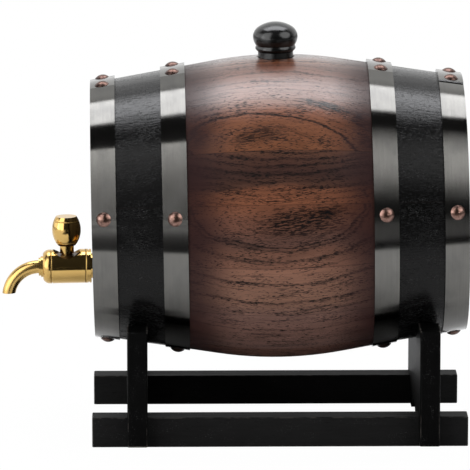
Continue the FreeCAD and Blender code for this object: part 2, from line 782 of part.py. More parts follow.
def make_spout():
    """Spout nut with its stepped nose, and the bent tube that it holds."""
    shoulder_end = -size.tap_front - size.nut_round
    step_end = shoulder_end - size.nut_step_length
    tip_end = -nut_front
    tube_end = tip_end + size.spout_grip
    bore = size.spout_radius + size.tap_fit / 2
    spigot_end = -size.tap_front + size.nut_spigot_length
    corners = [
        (tip_end, bore),
        (tip_end, size.nut_tip_radius),
        (step_end, size.nut_tip_radius),
        (step_end, size.nut_step_radius),
        (shoulder_end, size.nut_step_radius),
        (shoulder_end, size.nut_shoulder_radius),
        (-size.tap_front, size.tap_radius),
        (-size.tap_front, size.nut_spigot_radius),
        (spigot_end, size.nut_spigot_radius),
        (spigot_end, size.water_radius),
        (tube_end, size.water_radius),
        (tube_end, bore),
    ]
    nut = turned_body("spout_nut", corners, "H_Axis", {5: -size.nut_shoulder_bow})
    nut.Placement = TAP
    keep(nut, "spout_nut")

    tube = new_body("tap_spout")
    section = new_sketch(tube, "YZ_Plane")
    draw_circle(section, 0, size.spout_bend, size.spout_radius)
    draw_circle(section, 0, size.spout_bend, size.water_radius)
    bend = tube.newObject("PartDesign::Revolution", "spout_bend_turn")
    bend.Profile = section
    bend.ReferenceAxis = (section, ["H_Axis"])
    bend.Reversed = True
    bind(bend, Angle=size.spout_turn)
    straight = tube.newObject("PartDesign::Pad", "spout_straight")
    straight.Profile = section
    bind(straight, Length=size.spout_grip - size.wood_fit)
    section.Visibility = False
    trim = document.addObject("Part::Box", "spout_trim")
    trim.Placement = shift(-size.spout_bend * 2, -size.spout_bend, outlet_height - size.spout_bend)
    bind(trim, Length=size.spout_bend * 2, Width=size.spout_bend * 2, Height=size.spout_bend)
    spout = cut_from("tap_spout", tube, [trim])
    spout.Placement = TAP * shift(x=tip_end, z=-size.spout_bend)
    keep(spout, "tap_spout")


def make_valve():
    """Plug with a cross hole and a stop notch, gland ring with a stop lug, and the stem's ring seal."""
    plug_top = size.recess_floor - size.plug_end_gap * 2
    plug_foot = -size.plug_floor + size.plug_end_gap
    notch_floor = size.recess_floor - size.stop_drop - size.plug_end_gap * 2
    notch_inner = size.stop_inner - size.plug_end_gap
    plug_outline = [
        (0, plug_foot),
        (size.plug_radius, plug_foot),
        (size.plug_radius, plug_top),
        (size.stem_radius, plug_top),
        (size.stem_radius, size.stem_top),
        (0, size.stem_top),
    ]
    plug = turned_body("valve_plug", plug_outline, "V_Axis")
    notch = [
        (notch_inner, notch_floor),
        (size.plug_radius + size.plug_fit, notch_floor),
        (size.plug_radius + size.plug_fit, plug_top + size.plug_fit),
        (notch_inner, plug_top + size.plug_fit),
    ]
    notch_angle = size.key_turn + size.stop_width + size.stop_slack * 2
    turn_profile(plug, notch, "V_Axis", angle=notch_angle, cut=True)
    cross = cylinder(
        "valve_way", size.water_radius, size.plug_radius * 4, shift(y=size.plug_radius * 2) * turn(X_AXIS, 90)
    )
    plug = cut_from("valve_plug", plug, [cross])
    plug.Placement = TAP
    keep(plug, "valve_plug")

    gland_top = size.recess_floor + size.gland_height
    gland_radius = size.recess_radius - size.gland_fit
    stem_hole = size.stem_radius + size.stem_fit
    seal_ring = size.stem_radius + size.seal_section + size.gland_fit / 2
    seal_pocket = seal_ring + size.seal_section + size.gland_fit / 2
    pocket_top = size.recess_floor + size.seal_section * 2 + size.plug_end_gap
    gland_outline = [
        (seal_pocket, size.recess_floor),
        (gland_radius, size.recess_floor),
        (gland_radius, gland_top),
        (stem_hole, gland_top),
        (stem_hole, pocket_top),
        (seal_pocket, pocket_top),
    ]
    gland = turned_body("gland_ring", gland_outline, "V_Axis")
    lug = [
        (size.stop_inner, size.recess_floor - size.stop_drop),
        (size.stop_outer, size.recess_floor - size.stop_drop),
        (size.stop_outer, gland_top - size.plug_end_gap),
        (size.stop_inner, gland_top - size.plug_end_gap),
    ]
    turn_profile(gland, lug, "V_Axis", angle=size.stop_width)
    gland.Placement = TAP * turn(Z_AXIS, size.key_turn / 2)
    keep(gland, "gland_ring")

    seal = document.addObject("Part::Torus", "stem_seal_ring")
    bind(seal, Radius1=seal_ring, Radius2=size.seal_section)
    seal.Placement = TAP * shift(z=size.recess_floor + size.seal_section + size.plug_end_gap / 2)
    keep(seal, "stem_seal")


def make_key():
    """Barrel-shaped key on the valve stem."""
    neck_foot = size.recess_floor + size.gland_height + size.key_neck_gap
    bore = size.stem_radius + size.wood_fit
    corners = [
        (bore, neck_foot),
        (size.key_neck_radius, neck_foot),
        (size.key_neck_radius, size.key_foot),
        (size.key_foot_radius, size.key_foot),
        (size.key_top_radius, size.key_top),
        (0, size.key_top),
        (0, size.stem_top + size.plug_end_gap),
        (bore, size.stem_top + size.plug_end_gap),
    ]
    key = turned_body("tap_key", corners, "V_Axis", {3: size.key_bulge})
    key.Placement = TAP
    keep(key, "tap_key")


# ---------------------------------------------------------------- stand
def saddle_radius(inner_face):
    """Radius of a saddle whose widest place is at a distance inner_face from the cask's middle."""
    return outer_radius(inner_face) + size.saddle_gap


def saddle_half_width(radius, height):
    """Half width of a saddle at the cradle board's top, for a saddle axis at this height."""
    below = height - size.cradle_top
    return root(radius * radius - below * below)


level_saddle = saddle_radius(size.cradle_spread / 2 - size.cradle_thickness / 2)
cradle_top_half = saddle_half_width(level_saddle, cask_height) + size.cradle_shoulder
cradle_foot_half = cradle_top_half + size.cradle_flare
rail_middle = cradle_foot_half - size.rail_inset - size.rail_depth / 2


def rail_front(side):
    """Front face of the near rail (-1.0) or the far rail (1.0)."""
    return rail_middle * side - size.rail_depth / 2


def screw_places():
    """Each screw's X and Y: where a rail crosses a cradle board."""
    for end in (-1.0, 1.0):
        for side in (-1.0, 1.0):
            yield cradle_middle(end), rail_front(side) + size.rail_depth / 2


def cradle_middle(end):
    return cask_x + size.cradle_shift + size.cradle_spread * end / 2


def make_cradle(name, end):
    """Board with a saddle for the cask, notches for the rails and an arch between them."""
    inner_face = size.cradle_shift * end + size.cradle_spread / 2 - size.cradle_thickness / 2
    saddle = saddle_radius(inner_face)
    saddle_height = cask_height + inner_face * end * tilt_sine
    saddle_half = saddle_half_width(saddle, saddle_height)
    notch_top = size.rail_height + size.notch_fit
    fit = size.notch_fit
    near = rail_front(1.0) - fit
    far = rail_front(1.0) + size.rail_depth + fit
    arch_half = size.arch_width / 2
    arch = (arch_half * arch_half + size.arch_height * size.arch_height) / (size.arch_height * 2)
    half = [
        (arch_half, size.cradle_lift),
        (near, size.cradle_lift),
        (near, notch_top),
        (far, notch_top),
        (far, size.cradle_lift),
        (cradle_foot_half, size.cradle_lift),
        (cradle_top_half, size.cradle_top),
        (saddle_half, size.cradle_top),
    ]
    corners = with_mirror(half)
    body = new_body(name)
    outline = new_sketch(body, "YZ_Plane")
    draw_outline(outline, corners, {len(half) - 1: -saddle, len(corners) - 1: -arch})
    board = body.newObject("PartDesign::Pad", name + "_pad")
    board.Profile = outline
    board.Midplane = True
    bind(board, Length=size.cradle_thickness)
    outline.Visibility = False
    document.recompute()
    rounding = body.newObject("PartDesign::Fillet", name + "_rounding")
    rounding.Base = (board, upright_edges(board.Shape))
    bind(rounding, Radius=size.cradle_edge)
    pilot_radius = size.screw_radius + size.wood_fit
    pilots = [
        cylinder(name + "_pilot", pilot_radius, size.screw_length, shift(y=y, z=size.screw_sink + fit))
        for x, y in screw_places()
        if x.number * end > cradle_middle(0.0).number * end
    ]
    cradle = cut_from(name, body, pilots)
    cradle.Placement = shift(x=cradle_middle(end))
    keep(cradle, name)


def upright_edges(shape):
    """Names of the four outer corner edges of a cradle board, the only ones that are as tall as the board."""
    tall = size.cradle_top.number - size.cradle_lift.number
    return [
        f"Edge{number}"
        for number, edge in enumerate(shape.Edges, start=1)
        if abs(edge.BoundBox.ZLength - tall) < SAME_LENGTH
    ]


def make_rail(name, side):
    """Square rail that stands on the floor and carries both cradle boards."""
    body = new_body(name)
    section = new_sketch(body, "YZ_Plane")
    front = rail_front(side)
    back = front + size.rail_depth
    draw_outline(section, [(front, 0), (back, 0), (back, size.rail_height), (front, size.rail_height)])
    bar = body.newObject("PartDesign::Pad", name + "_pad")
    bar.Profile = section
    bar.Midplane = True
    bind(bar, Length=size.rail_length)
    section.Visibility = False
    holes = []
    for x, y in screw_places():
        if y.number * side > 0:
            place = shift(x - cask_x, y, 0.0)
            clearance = size.screw_radius + size.wood_fit
            holes.append(cylinder(name + "_hole", clearance, size.rail_height * 2, place))
            sink = size.screw_head_radius + size.wood_fit
            head_room = size.screw_sink + size.screw_head_height
            holes.append(cylinder(name + "_sink", sink, head_room, place))
    rail = cut_from(name, body, holes)
    rail.Placement = shift(x=cask_x)
    keep(rail, name)


def make_screws():
    """Screws that hold the cradle boards on the rails, driven from below."""
    shanks = []
    for x, y in screw_places():
        foot = shift(x, y, size.screw_sink)
        head = cylinder("screw_head", size.screw_head_radius, size.screw_head_height - size.wood_fit, foot)
        shank = cylinder("screw_shank", size.screw_radius, size.screw_length - size.wood_fit, foot)
        shanks.append(fused("stand_screw", [head, shank]))
    group = document.addObject("Part::Compound", "stand_screw_group")
    group.Links = shanks
    keep(group, "stand_screws")


# ---------------------------------------------------------------- the whole
make_staves()
make_head("front", -1.0, tapped=True)
make_head("rear", 1.0, tapped=False)
for hoop_name, hoop_place in hoop_middles().items():
    make_hoop(hoop_name, hoop_place)
make_bung()
make_tap_body()
make_tap_fixing()
make_spout()
make_valve()
make_key()
make_cradle("front_cradle", -1.0)
make_cradle("rear_cradle", 1.0)
make_rail("near_rail", -1.0)
make_rail("far_rail", 1.0)
make_screws()

document.recompute()
for piece in document.Objects:
    if "Invalid" in piece.State or "Error" in piece.State:
        raise RuntimeError(f"{piece.Label} failed: {piece.State}")

os.makedirs("parts", exist_ok=True)
for piece in nodes:
    if piece.Shape.isNull() or not piece.Shape.isValid():
        raise RuntimeError(f"{piece.Label} has no valid shape")
for piece in nodes:
    piece.Shape.exportStep(f"parts/{piece.Label}.step")
    print(f"{piece.Label}: {len(piece.Shape.Solids)} solids, {piece.Shape.Volume:.1f} mm3")
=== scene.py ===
"""Looks of the oak cask liquor dispenser: materials, fine detail, lamps and camera."""

import math
import random
from collections import namedtuple

import bpy
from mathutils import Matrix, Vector


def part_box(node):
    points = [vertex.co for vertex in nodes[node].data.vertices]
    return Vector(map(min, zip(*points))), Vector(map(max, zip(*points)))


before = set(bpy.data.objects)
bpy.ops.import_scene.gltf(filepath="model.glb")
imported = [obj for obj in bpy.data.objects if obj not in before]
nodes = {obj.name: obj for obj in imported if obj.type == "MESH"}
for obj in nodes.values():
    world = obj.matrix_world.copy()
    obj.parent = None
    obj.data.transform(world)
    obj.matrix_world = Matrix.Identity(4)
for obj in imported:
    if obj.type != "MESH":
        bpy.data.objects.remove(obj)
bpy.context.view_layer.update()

# ---------------------------------------------------------------- places in the shared frame
# metres and degrees
ORIGIN = (0.0, 0.0, 0.0)
CASK_CENTRE = (0.026679, 0.0, 0.1333)
CASK_TILT = 1.0
TAP_CENTRE = (-0.0998, 0.0, 0.096587)
CAMERA_PLACE = (-0.050, -3.180, 0.733)
CAMERA_TARGET = (0.0009, 0.0, 0.1153)
CAMERA_LENS = 413.6
CAMERA_SENSOR = 36.0
LAMP_AIM_HEIGHT = 0.13
MM_PER_METRE = 1000.0

# the cask's outside in its own frame, in mm
BILGE = 90.8  # radius at the middle
BENT_HALF = 37.2  # half the length over which a stave is bent
BEND = 228.0  # radius of that bend
END_SLOPE = 0.1654  # loss of radius for each mm beyond it

# angles of the seams between the staves, from the top towards the near side
SEAMS = [
    -11.5, 11.5, 35.5, 58.5, 79.2, 103.5, 125.0, 149.0, 171.0,
    194.0, 215.0, 239.0, 261.5, 282.0, 305.5, 326.5, 348.5,
]


def rgb(red, green, blue):
    """Linear colour of an sRGB colour written 0 to 255."""
    def linear(v):
        v /= 255.0
        return v / 12.92 if v <= 0.04045 else ((v + 0.055) / 1.055) ** 2.4

    return (linear(red), linear(green), linear(blue), 1.0)


# ---------------------------------------------------------------- node trees
class Tree:
    """A node tree, built by calls that return the socket to go on with."""

    def __init__(self, tree):
        self.tree = tree
        tree.nodes.clear()

    def node(self, kind, inputs=None, **settings):
        made = self.tree.nodes.new(kind)
        for name, value in settings.items():
            setattr(made, name, value)
        for name, value in (inputs or {}).items():
            self.feed(made.inputs[name], value)
        return made

    def feed(self, socket, value):
        if isinstance(value, bpy.types.NodeSocket):
            self.tree.links.new(value, socket)
        else:
            socket.default_value = value

    # numbers
    def math(self, operation, *values, clamp=False):
        made = self.node("ShaderNodeMath", operation=operation, use_clamp=clamp)
        for place, value in enumerate(values):
            self.feed(made.inputs[place], value)
        return made.outputs[0]

    def chain(self, operation, values):
        total = values[0]
        for value in values[1:]:
            total = self.math(operation, total, value)
        return total

    def add(self, *values):
        return self.chain("ADD", values)

    def times(self, *values):
        return self.chain("MULTIPLY", values)

    def highest(self, *values):
        return self.chain("MAXIMUM", values)

    def minus(self, a, b):
        return self.math("SUBTRACT", a, b)

    def absolute(self, value):
        return self.math("ABSOLUTE", value)

    def length(self, a, b):
        return self.math("SQRT", self.add(self.times(a, a), self.times(b, b)))

    def sway(self, value, reach):
        """Noise between 0 and 1 turned into a number that wavers round 0."""
        return self.times(self.minus(value, 0.5), reach)

    def steep(self, value, threshold, slope):
        """0 below a threshold, and above it rising steeply to 1."""
        return self.math("MULTIPLY", self.minus(value, threshold), slope, clamp=True)

    def span(self, value, low, high, to_low=0.0, to_high=1.0):
        """Value moved from low..high to to_low..to_high along a smooth step."""
        limits = {"From Min": low, "From Max": high, "To Min": to_low, "To Max": to_high}
        return self.node("ShaderNodeMapRange", {"Value": value, **limits},
                         interpolation_type="SMOOTHSTEP").outputs[0]

    def share(self, value, low, high):
        """Value moved from low..high to 0..1 along a straight line."""
        limits = {"From Min": low, "From Max": high}
        return self.node("ShaderNodeMapRange", {"Value": value, **limits}).outputs[0]

    def blend(self, share, a, b):
        """Number between a and b."""
        made = self.node("ShaderNodeMix", data_type="FLOAT")
        self.feed(made.inputs[0], share)
        self.feed(made.inputs[2], a)
        self.feed(made.inputs[3], b)
        return made.outputs[0]

    # places and directions
    def coordinate(self, kind):
        """Object for a place, Normal for the way a surface faces, Generated for a view direction."""
        return self.node("ShaderNodeTexCoord").outputs[kind]

    def joined(self, x, y, z):
        return self.node("ShaderNodeCombineXYZ", {"X": x, "Y": y, "Z": z}).outputs[0]

    def split(self, vector):
        return self.node("ShaderNodeSeparateXYZ", {"Vector": vector}).outputs[:]

    def vector(self, operation, a, b):
        return self.node("ShaderNodeVectorMath", {0: a, 1: b}, operation=operation).outputs[0]

    def scaled(self, vector, factor):
        made = self.node("ShaderNodeVectorMath", {0: vector, "Scale": factor}, operation="SCALE")
        return made.outputs[0]

    def turned(self, vector, degrees, axis):
        return self.node("ShaderNodeVectorRotate", {"Vector": vector, "Angle": math.radians(degrees)},
                         rotation_type=axis).outputs[0]

    def noise(self, vector, detail=2.0, rough=0.5, distortion=0.0):
        kind = {"Scale": 1.0, "Detail": detail, "Roughness": rough, "Distortion": distortion}
        return self.node("ShaderNodeTexNoise", {"Vector": vector, **kind}).outputs["Fac"]

    def streaks(self, place, factors, **kind):
        """Noise over a place whose three axes are first multiplied by three factors."""
        return self.noise(self.vector("MULTIPLY", place, factors), **kind)

    # colours
    def ramp(self, value, stops, smooth=False):
        """Colour or grey at a value between 0 and 1, from (place, colour) stops."""
        made = self.node("ShaderNodeValToRGB", {"Fac": value})
        band = made.color_ramp
        band.interpolation = "EASE" if smooth else "LINEAR"
        for place, colour in stops[1:-1]:
            band.elements.new(place)
        for element, (place, colour) in zip(band.elements, stops):
            element.position = place
        for element, (place, colour) in zip(band.elements, stops):
            element.color = colour if isinstance(colour, tuple) else (colour, colour, colour, 1.0)
        return made.outputs["Color"]

    def mix(self, share, a, b):
        """Colour between a and b."""
        made = self.node("ShaderNodeMix", data_type="RGBA")
        self.feed(made.inputs[0], share)
        self.feed(made.inputs[6], a)
        self.feed(made.inputs[7], b)
        return made.outputs[2]

    def shade(self, colour, factor):
        """Colour multiplied by a number."""
        return self.scaled(colour[:3] if isinstance(colour, tuple) else colour, factor)

    def relief(self, height_mm):
        """Normal of a surface raised by a height in mm."""
        kind = {"Strength": 1.0, "Distance": 1.0 / MM_PER_METRE}
        return self.node("ShaderNodeBump", {"Height": height_mm, **kind}).outputs[0]

    def end(self, shader, kind):
        """Link a shader to an output of a kind."""
        self.tree.links.new(shader.outputs[0], self.node(kind).inputs["Surface"])


def blank_material(name):
    """New material and its empty node tree."""
    made = bpy.data.materials.new(name)
    made.use_nodes = True
    return made, Tree(made.node_tree)


def material(name, paint):
    """Material whose principled shader gets what paint(tree) returns, socket name to value."""
    made, t = blank_material(name)
    t.end(t.node("ShaderNodeBsdfPrincipled", paint(t)), "ShaderNodeOutputMaterial")
    return made


def dress(node_names, made):
    """Give some pieces one material."""
    for name in node_names:
        mesh = nodes[name].data
        mesh.materials.clear()
        mesh.materials.append(made)


# ---------------------------------------------------------------- places on the pieces
def around(t, centre, tilt):
    """Place in mm in a frame with its own centre and tilt about Y."""
    moved = t.vector("SUBTRACT", t.coordinate("Object"), centre)
    return t.scaled(t.turned(moved, tilt, "Y_AXIS"), MM_PER_METRE)


def round_cask(t, middle):
    """Place along the cask, angle in radians from a middle angle towards the near side, and radius."""
    x, y, z = t.split(t.turned(around(t, CASK_CENTRE, CASK_TILT), -middle, "X_AXIS"))
    return x, t.math("ARCTAN2", t.times(y, -1.0), z), t.length(y, z)


# ---------------------------------------------------------------- oak
GOLD = rgb(108, 66, 46)
BROWN = rgb(100, 63, 48)
ROSE = rgb(99, 66, 55)
PLUM = rgb(70, 47, 40)
INK = rgb(16, 11, 10)
CHAR = rgb(13, 10, 10)
DARK_STAIN = rgb(37, 19, 19)
JOINT_DIRT = rgb(20, 14, 13)
EBONY = rgb(7, 7, 7)
EBONY_PALE_SPECK = rgb(84, 84, 84)
TOASTED = rgb(126, 84, 52)

# shift of the noises from one stave to the next, in mm along the cask and round it
SHIFT_ALONG = 37.0
SHIFT_ROUND = 11.0
# distances from the cask's middle, in mm, over which the stave's look changes
DUSK = (22.0, 55.0)
BLACK = (58.0, 61.0)
THIN_VARNISH = (28.0, 56.0)
END_GRAIN = (97.0, 94.0)
# angles from the top, in degrees, over which it changes
SHOULDER = (19.0, 31.0)
FEWER_PORES = (26.0, 40.0)
FLANK = (30.0, 62.0)

Look = namedtuple("Look", "centre aspect rings tints scorches lean", defaults=((), 0.0))


def middle_of(number):
    """Angle in degrees at which a stave has its middle."""
    return (SEAMS[number - 1] + SEAMS[number]) / 2


def half_angle_of(number):
    """Half the angle that a stave takes, in radians."""
    return math.radians((SEAMS[number] - SEAMS[number - 1]) / 2)


def half_width_of(number):
    """Half the width of a stave at the cask's middle, in mm."""
    return half_angle_of(number) * BILGE


def ring_mask(t, out, rings):
    """Dark lines at the rings' distances: each rises over 0.9 of its width and fades over 1.5 of it."""
    margin = 12.0
    low = min(r for r, width, strength in rings) - margin
    high = max(r for r, width, strength in rings) + margin
    marks = [(0.0, 0.0)]
    for r, width, strength in sorted(rings):
        for at, level in ((r - 0.9 * width, 0.0), (r, strength), (r + 1.5 * width, 0.0)):
            marks.append(((at - low) / (high - low), level))
    rising = [mark for before, mark in zip(marks, marks[1:]) if mark[0] > before[0]]
    return t.ramp(t.share(out, low, high), marks[:1] + rising + [(1.0, 0.0)])


class StaveOak:
    """Stained oak of one stave: what its layers share, and each layer in a method of its own."""

    def __init__(self, t, number, look):
        self.t = t
        self.look = look
        self.seed = float(number)
        self.middle = middle_of(number)
        self.half_angle = half_angle_of(number)
        self.half = half_width_of(number)
        self.x, self.angle, self.radius = round_cask(t, self.middle)
        self.s = t.times(self.angle, BILGE)
        self.aside = t.absolute(self.x)
        self.shifted = t.add(self.x, self.seed * SHIFT_ALONG)
        self.place = t.joined(self.shifted, t.add(self.s, self.seed * SHIFT_ROUND), self.radius)
        self.fibre = self.spots(34.0, 0.9, detail=3.0, rough=0.7)
        self.mottle = self.spots(30.0, 14.0, detail=2.0)
        self.patchy = self.spots(20.0, 7.0, detail=1.0)
        self.wrinkle = self.spots(12.0, 1.3, detail=3.0, rough=0.60, distortion=0.35)
        self.nest()
        self.ring = ring_mask(t, self.out, look.rings)
        self.line = t.times(self.ring, self.ring, t.span(self.spots(7.0, 2.5, detail=2.0), 0.25, 0.46))
        self.ends = t.span(t.add(self.aside, t.sway(self.mottle, 4.0)), *BLACK)
        self.place_round()
        self.open_pores()

    def spots(self, along, across, **kind):
        """Noise with spots as long and as wide as the given mm."""
        return self.t.streaks(self.place, (1 / along, 1 / across, 1 / across), **kind)

    def nest(self):
        """How far out a place lies on the nested figure, wavering as grown wood does."""
        t, look = self.t, self.look
        along = t.minus(self.x, look.centre[0])
        self.across = t.minus(t.minus(self.s, look.centre[1]), t.times(along, look.lean))
        waver = t.add(t.sway(self.spots(26.0, 12.0, detail=1.0), 5.0),
                      t.sway(self.spots(5.0, 2.4, detail=2.0, rough=0.7), 2.6))
        self.out = t.add(t.length(t.times(along, 1.0 / look.aspect), self.across), waver)

    def place_round(self):
        """Masks that grow with the angle from the top of the cask."""
        t = self.t
        from_top = self.middle if self.middle < 180.0 else self.middle - 360.0
        down = t.absolute(t.add(t.times(self.angle, 180.0 / math.pi), from_top))
        self.flank = t.span(down, *FLANK)
        self.shoulder = t.span(down, *SHOULDER)
        self.fewer = t.span(down, *FEWER_PORES, -0.035, 0.0)

    def open_pores(self):
        """Pores crowd where a ring begins and lie scattered elsewhere."""
        t = self.t
        grainy = self.spots(2.9, 0.46, detail=1.0, rough=0.5)
        crowd = t.add(t.times(self.ring, 0.18), t.sway(self.patchy, 0.33), self.fewer)
        self.pore = t.steep(t.add(grainy, crowd), threshold=0.610, slope=34.0)

    def veins(self):
        """Fine lines that follow the rings where these run along the stave."""
        t = self.t
        along_rings = t.joined(self.shifted, self.out, self.seed)
        thread = t.streaks(along_rings, (1 / 46.0, 1 / 1.15, 1.0), detail=2.0, rough=0.6)
        level = t.span(t.math("DIVIDE", t.absolute(self.across), self.out), 0.45, 0.80)
        vein = t.steep(thread, threshold=0.565, slope=14.0)
        return t.times(vein, level, t.add(0.10, t.times(self.patchy, 0.85)))

    def grown(self):
        """Tinted wood with its veins, rings and pores."""
        t, half = self.t, self.half
        stops = [((place + half) / (2 * half), tint) for place, tint in self.look.tints]
        tint = t.ramp(t.share(t.add(self.s, t.sway(self.mottle, 9.0)), -half, half), stops, smooth=True)
        colour = t.shade(tint, t.add(0.34, t.times(self.fibre, 0.80), t.times(self.mottle, 0.46)))
        marks = (self.veins(), t.times(self.ring, 0.22), t.times(self.line, 0.93),
                 t.times(self.pore, t.add(0.88, t.times(self.ring, 0.12))))
        for mark in marks:
            colour = t.mix(mark, colour, INK)
        return colour

    def scorched(self, colour, spot):
        """Patch of short slanted burnt streaks."""
        t = self.t
        x, s, long, wide, slant, depth = spot
        along = t.minus(self.x, x)
        across = t.add(t.minus(self.s, s), t.times(along, slant))
        out = t.length(t.times(along, 1.0 / long), t.times(across, 1.0 / wide))
        slanted = t.joined(self.x, across, self.seed)
        streak = t.streaks(slanted, (1 / 5.0, 1 / 0.9, 1.0), detail=2.0, rough=0.6)
        inside = t.span(t.add(out, t.sway(self.patchy, 0.9)), 1.15, 0.35)
        burnt = t.steep(t.add(streak, t.times(inside, 0.13)), threshold=0.585, slope=16.0)
        colour = t.shade(colour, t.minus(1.0, t.times(inside, 0.34 * depth)))
        return t.mix(t.times(burnt, inside, depth), colour, CHAR)

    def stained(self, colour):
        """The stain darkens towards the hoops and turns black beyond them."""
        t = self.t
        worn = t.add(self.aside, t.sway(self.mottle, 15.0), t.sway(self.fibre, 5.0),
                     t.span(self.x, -20.0, -45.0, 0.0, 3.0))
        colour = t.mix(t.times(t.span(worn, *DUSK), 0.90), colour, DARK_STAIN)
        colour = t.mix(self.ends, colour, t.shade(EBONY, t.add(0.72, t.times(self.fibre, 0.5))))
        # pale grey specks scattered over the black ends
        pale_speck = t.steep(self.spots(0.9, 0.6, detail=1.0), threshold=0.66, slope=14.0)
        return t.mix(t.times(pale_speck, self.ends, t.span(self.patchy, 0.44, 0.60), 0.5), colour, EBONY_PALE_SPECK)

    def joint(self):
        """Narrow joint to each neighbour."""
        t = self.t
        edge = t.times(t.minus(self.half_angle, t.absolute(self.angle)), self.radius)
        return t.span(edge, 0.55, 0.0)

    def bared(self, colour):
        """Bare toasted oak inside the shell."""
        t = self.t
        bent = t.math("MINIMUM", self.aside, BENT_HALF)
        outside = t.minus(t.minus(BILGE, t.times(bent, bent, 0.5 / BEND)),
                          t.times(t.minus(self.aside, bent), END_SLOPE))
        inner = t.span(t.minus(outside, self.radius), 1.2, 2.4)
        bare = t.shade(TOASTED, t.add(0.7, t.times(self.fibre, 0.6)))
        return t.mix(t.times(inner, t.span(self.aside, *END_GRAIN)), colour, bare)

    def varnish(self):
        """The clear coat is thick on the crown, thin below it and beside the quarter hoops."""
        t = self.t
        oak = t.times(t.minus(1.0, t.span(self.aside, *THIN_VARNISH, 0.0, 0.8)),
                      t.blend(self.flank, 0.95, 0.08),
                      t.minus(1.0, t.times(t.highest(self.pore, self.line), 0.35)))
        black = t.blend(self.flank, t.blend(self.shoulder, 0.26, 0.54), 0.14)
        oak_height = t.times(self.spots(1.6, 0.5, detail=1.0), 0.09)
        black_height = t.add(t.times(self.wrinkle, t.blend(self.shoulder, 0.05, 0.17)),
                             t.times(self.pore, -0.05))
        return {"Coat Weight": t.blend(self.ends, oak, black), "Coat Roughness": 0.13,
                "Coat Normal": t.relief(t.blend(self.ends, oak_height, black_height))}

    def shader(self):
        """Values for the principled shader, all layers together."""
        t = self.t
        colour = self.grown()
        for spot in self.look.scorches:
            colour = self.scorched(colour, spot)
        joint = self.joint()
        colour = self.bared(t.mix(t.times(joint, 0.4), self.stained(colour), JOINT_DIRT))
        black_height = t.add(t.times(self.wrinkle, 0.10), t.times(self.pore, -0.05))
        height = t.add(t.times(self.pore, -0.025), t.times(self.fibre, 0.02),
                       t.times(self.ends, black_height),
                       t.times(self.mottle, 0.08), t.times(joint, -0.06))
        rough = t.add(0.34, t.times(self.pore, 0.2), t.times(self.fibre, 0.05), t.times(self.ends, -0.12))
        return {"Base Color": colour, "Roughness": rough, "IOR": 1.5, "Specular IOR Level": 0.10,
                "Normal": t.relief(height), **self.varnish()}


# ---------------------------------------------------------------- what each stave shows
# centre: mm along the cask and round it from the stave's middle
# aspect: how much longer than wide the figure is
# rings: distance out in mm, width in mm, strength
# tints: mm round the cask from the stave's middle, colour
# scorches: mm along the cask, mm round it, half the length, half the width, slant, depth
# lean: slope of the figure's long axis
def shared_centre(along, angle, number):
    """Centre of a figure that several staves share, at one angle from the top."""
    return (along, math.radians(angle - middle_of(number)) * BILGE)


def upper_look(number):
    """Wood on the near side above the burnt stave."""
    half = half_width_of(number)
    rings = [(44.5, 0.9, 0.5), (53.0, 1.0, 0.42), (62.0, 1.0, 0.5), (71.0, 1.2, 0.4)]
    # the pale tint towards the lower edge is a painted highlight, the soft lower edge of the overhead
    # lamp's reflection
    tints = [(-half, rgb(98, 62, 48)), (0.0, rgb(112, 78, 66)), (half, rgb(128, 96, 84))]
    return Look(shared_centre(-4.0, 58.5, number), 2.6, rings, tints)


def burnt_look(number):
    """Pale nested rings and the scorched patches; the palest tints, towards the upper edge, are painted
    highlight.
    """
    half = half_width_of(number)
    rings = [(9.0, 3.0, 0.30), (15.0, 2.6, 0.28), (25.0, 1.3, 1.0), (28.2, 0.8, 0.4),
             (31.6, 0.9, 0.5), (36.4, 1.0, 0.45)]
    # the two palest tints, near the upper edge, are painted highlight from the overhead lamp's reflection
    tints = [(-half, rgb(136, 104, 92)), (-7.0, rgb(122, 80, 62)), (0.0, rgb(110, 70, 50)),
             (half, rgb(106, 67, 46))]
    scorches = [(33.0, -11.0, 22.0, 3.6, -0.25, 1.0), (27.0, -14.8, 20.0, 2.4, -0.22, 0.9),
                (50.0, -4.0, 13.0, 9.0, -0.2, 1.0), (54.0, 8.0, 10.0, 13.0, 0.0, 0.95),
                (-12.0, 8.0, 20.0, 8.0, 0.12, 0.75), (-47.0, 6.0, 9.0, 9.0, 0.1, 0.6)]
    return Look(shared_centre(-4.0, 58.5, number), 2.0, rings, tints, scorches, lean=0.14)


def banded_look(number):
    """The dark band, whose rings are centred far above the stave."""
    half = half_width_of(number)
    rings = [(53.5, 1.0, 0.75), (57.5, 1.2, 0.6), (61.5, 1.0, 0.7), (66.0, 1.6, 0.75),
             (70.5, 1.2, 0.5), (75.0, 1.2, 0.6), (78.6, 1.2, 0.5), (82.5, 1.0, 0.4)]
    tints = [(-half, rgb(86, 57, 44)), (-11.0, rgb(69, 46, 38)), (-3.0, rgb(58, 39, 34)),
             (4.0, rgb(70, 47, 38)), (9.0, rgb(108, 68, 49)), (half, rgb(112, 70, 50))]
    return Look((4.0, -68.0), 1.8, rings, tints)


